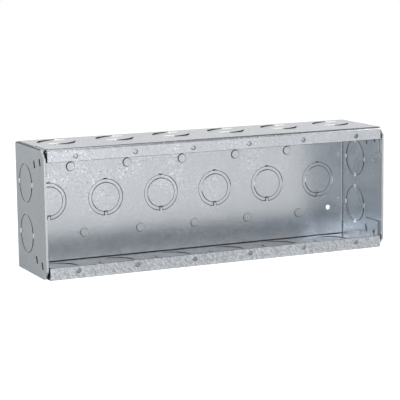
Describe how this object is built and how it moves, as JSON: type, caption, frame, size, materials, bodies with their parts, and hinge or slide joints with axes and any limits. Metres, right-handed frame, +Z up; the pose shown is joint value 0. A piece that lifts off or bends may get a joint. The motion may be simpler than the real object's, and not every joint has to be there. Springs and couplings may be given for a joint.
{
  "type": "multi-gang box",
  "caption": "Long open-front steel box for a row of wiring devices: folded sheet body, clinched end plates, tied concentric knockouts and tapped flange holes.",
  "frame": {"origin": "under the middle of the box, on the plane that its bottom wall stands on", "axes": "+X along the row of gangs, -Y out of the open front, +Z up"},
  "size_m": [0.2794, 0.0636, 0.0953],
  "materials": {
    "galvanised_body": "zinc-coated sheet with a fine mottled spangle and light scuffs",
    "galvanised_ends": "zinc-coated sheet with a fine mottled spangle and light scuffs"
  },
  "bodies": {
    "root": {"box_body": "galvanised_body", "left_end_plate": "galvanised_ends", "right_end_plate": "galvanised_ends"}
  },
  "joints": []
}
